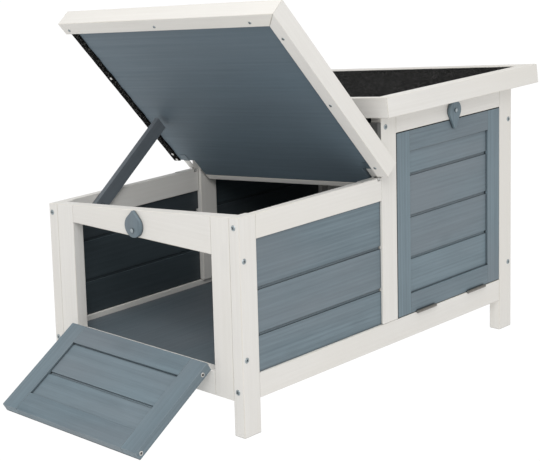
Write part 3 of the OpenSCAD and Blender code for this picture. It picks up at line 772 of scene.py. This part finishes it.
# %% The head tree
HEAD_SIDES = 20
CROSS_REACH, CROSS_DEPTH = 1.15, 0.7
FULL_TURN = 6.283
MAX_FLOAT_INPUT, FLOAT_OUTPUT = 3, 1


def group_input(tree, name, kind, value=None):
    socket = tree.interface.new_socket(name, in_out="INPUT", socket_type=kind)
    if value is not None:
        socket.default_value = value
    return socket.identifier


def head_tree(name, cross):
    tree = bpy.data.node_groups.new(name, "GeometryNodeTree")
    group_input(tree, "Points", "NodeSocketGeometry")
    ids = {
        "radius": group_input(tree, "Head radius", "NodeSocketFloat", 4 * MM),
        "height": group_input(tree, "Head height", "NodeSocketFloat", 1 * MM),
        "taper": group_input(tree, "Taper", "NodeSocketFloat", 0.8),
        "slot": group_input(tree, "Cross width", "NodeSocketFloat", 0.22),
        "seed": group_input(tree, "Seed", "NodeSocketInt", 5),
        "finish": group_input(tree, "Finish", "NodeSocketMaterial"),
    }
    tree.interface.new_socket("Heads", in_out="OUTPUT", socket_type="NodeSocketGeometry")
    make, join = tree.nodes.new, tree.links.new
    given = make("NodeGroupInput")
    out = make("NodeGroupOutput")

    def calc(kind, a, b):
        node = make("ShaderNodeMath")
        node.operation = kind
        for socket, value in zip(node.inputs, (a, b)):
            if isinstance(value, (int, float)):
                socket.default_value = value
            else:
                join(value, socket)
        return node.outputs[0]

    cone = make("GeometryNodeMeshCone")
    cone.inputs["Vertices"].default_value = HEAD_SIDES
    join(given.outputs["Head radius"], cone.inputs["Radius Bottom"])
    join(calc("MULTIPLY", given.outputs["Head radius"], given.outputs["Taper"]), cone.inputs["Radius Top"])
    join(given.outputs["Head height"], cone.inputs["Depth"])
    head = cone.outputs["Mesh"]
    if cross:
        radius, height = given.outputs["Head radius"], given.outputs["Head height"]
        wide = calc("MULTIPLY", radius, CROSS_REACH)
        slim = calc("MULTIPLY", wide, given.outputs["Cross width"])
        deep = calc("MULTIPLY", height, CROSS_DEPTH)
        lift = make("ShaderNodeCombineXYZ")
        join(height, lift.inputs["Z"])
        for a, b in ((wide, slim), (slim, wide)):
            size = make("ShaderNodeCombineXYZ")
            join(a, size.inputs["X"])
            join(b, size.inputs["Y"])
            join(calc("MULTIPLY", deep, 2), size.inputs["Z"])
            bar = make("GeometryNodeMeshCube")
            join(size.outputs["Vector"], bar.inputs["Size"])
            move = make("GeometryNodeTransform")
            join(bar.outputs["Mesh"], move.inputs["Geometry"])
            join(lift.outputs["Vector"], move.inputs["Translation"])
            carve = make("GeometryNodeMeshBoolean")
            carve.operation = "DIFFERENCE"
            join(head, carve.inputs["Mesh 1"])
            join(move.outputs["Geometry"], carve.inputs["Mesh 2"])
            head = carve.outputs["Mesh"]
    facing = make("GeometryNodeInputNamedAttribute")
    facing.data_type = "FLOAT_VECTOR"
    facing.inputs["Name"].default_value = "facing"
    turn = make("FunctionNodeAlignRotationToVector")
    turn.axis = "Z"
    join(facing.outputs["Attribute"], turn.inputs["Vector"])
    chance = make("FunctionNodeRandomValue")
    chance.data_type = "FLOAT"
    chance.inputs[MAX_FLOAT_INPUT].default_value = FULL_TURN
    join(given.outputs["Seed"], chance.inputs["Seed"])
    spin = make("ShaderNodeCombineXYZ")
    join(chance.outputs[FLOAT_OUTPUT], spin.inputs["Z"])
    both = make("FunctionNodeRotateRotation")
    both.rotation_space = "LOCAL"
    join(turn.outputs["Rotation"], both.inputs["Rotation"])
    join(spin.outputs["Vector"], both.inputs["Rotate By"])
    place = make("GeometryNodeInstanceOnPoints")
    join(given.outputs["Points"], place.inputs["Points"])
    join(head, place.inputs["Instance"])
    join(both.outputs["Rotation"], place.inputs["Rotation"])
    real = make("GeometryNodeRealizeInstances")
    join(place.outputs["Instances"], real.inputs["Geometry"])
    coat = make("GeometryNodeSetMaterial")
    join(real.outputs["Geometry"], coat.inputs["Geometry"])
    join(given.outputs["Finish"], coat.inputs["Material"])
    join(coat.outputs["Geometry"], out.inputs["Heads"])
    return tree, ids


# %% [markdown]
# ## Where the heads sit
# The frame holds each screw as a small disc. Its largest flat face gives the way it points, turned away from
# the middle of the part it holds, and its lowest point along that way is the seat of the head. A set has no
# fixed order, so the faces are sorted by index: otherwise the last digits would change from run to run.

# %% Read the heads' places from the frame
def disc_places(node, outward_of):
    work = bmesh.new()
    work.from_mesh(frame["nodes"][node].data)
    bmesh.ops.remove_doubles(work, verts=work.verts, dist=WELD)
    work.faces.index_update()
    places = []
    for group in islands(work):
        centre = sum((v.co for v in group), Vector()) / len(group)
        faces = sorted({face for v in group for face in v.link_faces}, key=lambda face: face.index)
        flat = {}
        for face in faces:
            key = tuple(round(abs(c), 2) for c in face.normal)
            flat.setdefault(key, [0, face.normal.copy()])
            flat[key][0] += face.calc_area()
        axis = max(flat.values(), key=lambda item: item[0])[1].normalized()
        if (centre - outward_of).dot(axis) < 0:
            axis = -axis
        spans = [(v.co - centre).dot(axis) for v in group]
        places.append((centre + axis * min(spans), axis, max(spans) - min(spans)))
    work.free()
    return places


def middle(*names):
    corners = [Vector(c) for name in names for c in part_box(name)]
    low = Vector(min(c[i] for c in corners) for i in range(3))
    high = Vector(max(c[i] for c in corners) for i in range(3))
    return (low + high) / 2


# %% Set the heads
HEAD_CLEARANCE = 0.02 * MM
SCREW = {"cross": True, "taper": 0.82, "recess": 0.3, "finish": zinc}
RAMP_SCREW = {"cross": True, "taper": 0.9, "recess": 0.75, "finish": bright_zinc}
NAIL = {"cross": False, "taper": 0.55, "recess": 0.3, "finish": bright_zinc}


def heads(name, node, around, radius, seed, cross, taper, finish, recess):
    places = disc_places(node, around)
    mesh = bpy.data.meshes.new(name + "_points")
    mesh.from_pydata([tuple(spot) for spot, axis, high in places], [], [])
    facing = mesh.attributes.new("facing", "FLOAT_VECTOR", "POINT")
    for i, (spot, axis, high) in enumerate(places):
        facing.data[i].vector = axis
    piece = bpy.data.objects.new(name, mesh)
    bpy.context.scene.collection.objects.link(piece)
    tree, ids = head_tree(name + "_tree", cross)
    maker = piece.modifiers.new("heads", "NODES")
    maker.node_group = tree
    values = {"radius": radius, "height": places[0][2] - HEAD_CLEARANCE, "taper": taper, "seed": seed}
    values.update({"finish": finish, "slot": recess})
    for key, value in values.items():
        maker[ids[key]] = value
    flatten_modifiers(piece)
    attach(piece, body_holding(node))
    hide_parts(node)
    print(name, len(places), "heads,", len(piece.data.polygons), "faces")
    return piece


frame_middle = middle("front_left_leg", "rear_right_leg")
heads("frame_screw_heads", "frame_screws", frame_middle, 5 * MM, seed=3, **SCREW)
heads("lid_screw_heads", "lid_screws", middle("lid_deck"), 3 * MM, seed=11, **SCREW)
heads("ramp_screw_heads", "ramp_screws", middle("ramp_boards"), 4 * MM, seed=17, **RAMP_SCREW)
heads("felt_nail_heads", "lid_felt_nails", middle("lid_deck"), 3 * MM, seed=23, **NAIL)

# %% [markdown]
# ## Floor and light
# A catalogue's white ground is lit until no shadow shows. Here the floor itself glows at just over full
# white and hardly takes any other light, so it is even from every side. A bright surround keeps the shading
# soft. One broad lamp from the front left and above models the planks, and a weaker one overhead lights the
# roofs and the floor of the run.

# %% Floor
FLOOR_HALF = 14
FLOOR_BASE = (0.02, 0.02, 0.02, 1)
FLOOR_GLOW = 1.02


def add_floor():
    mesh = bpy.data.meshes.new("floor")
    half = FLOOR_HALF
    corners = [(-half, -half, 0), (half, -half, 0), (half, half, 0), (-half, half, 0)]
    mesh.from_pydata(corners, [], [(0, 1, 2, 3)])
    floor = bpy.data.objects.new("floor", mesh)
    bpy.context.scene.collection.objects.link(floor)
    material, tree, shader = nodes_of("studio_floor")
    shader.inputs["Base Color"].default_value = FLOOR_BASE
    shader.inputs["Roughness"].default_value = 1
    shader.inputs["Specular IOR Level"].default_value = 0
    shader.inputs["Emission Color"].default_value = (1, 1, 1, 1)
    shader.inputs["Emission Strength"].default_value = FLOOR_GLOW
    mesh.materials.append(material)
    floor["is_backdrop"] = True
    return floor


add_floor()
print("floor glows at", FLOOR_GLOW)

# %% Lights
SURROUND_STRENGTH = 0.60
KEY_LAMP = {"place": (-2.1, -2.0, 2.7), "target": (0.3, 0.2, 0.3), "size": 1.8, "power": 60}
TOP_LAMP = {"place": (-0.3, -0.1, 3.4), "target": (0.2, 0.2, 0.3), "size": 1.6, "power": 38}


def add_lamp(name, place, target, size, power):
    data = bpy.data.lights.new(name, "AREA")
    data.shape = "SQUARE"
    data.size = size
    data.energy = power
    lamp = bpy.data.objects.new(name, data)
    bpy.context.scene.collection.objects.link(lamp)
    lamp.location = place
    lamp.rotation_euler = (Vector(target) - Vector(place)).to_track_quat("-Z", "Y").to_euler()
    return lamp


world = bpy.data.worlds.new("surround")
world.use_nodes = True
background = world.node_tree.nodes["Background"]
background.inputs["Color"].default_value = (1, 1, 1, 1)
background.inputs["Strength"].default_value = SURROUND_STRENGTH
bpy.context.scene.world = world
add_lamp("key", **KEY_LAMP)
add_lamp("top", **TOP_LAMP)
bpy.context.scene.view_settings.view_transform = "Standard"

# %% [markdown]
# ## Measure and finish
# The dressed model has to keep the size of the frame, so both boxes are written down and compared.

# %% Measure and finish
seen_box = [list(corner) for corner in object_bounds()]
grown = [round((b - a) / MM, 2) for a, b in zip(sum(cad_box, []), sum(seen_box, []))]
print("box grows by", grown, "mm")
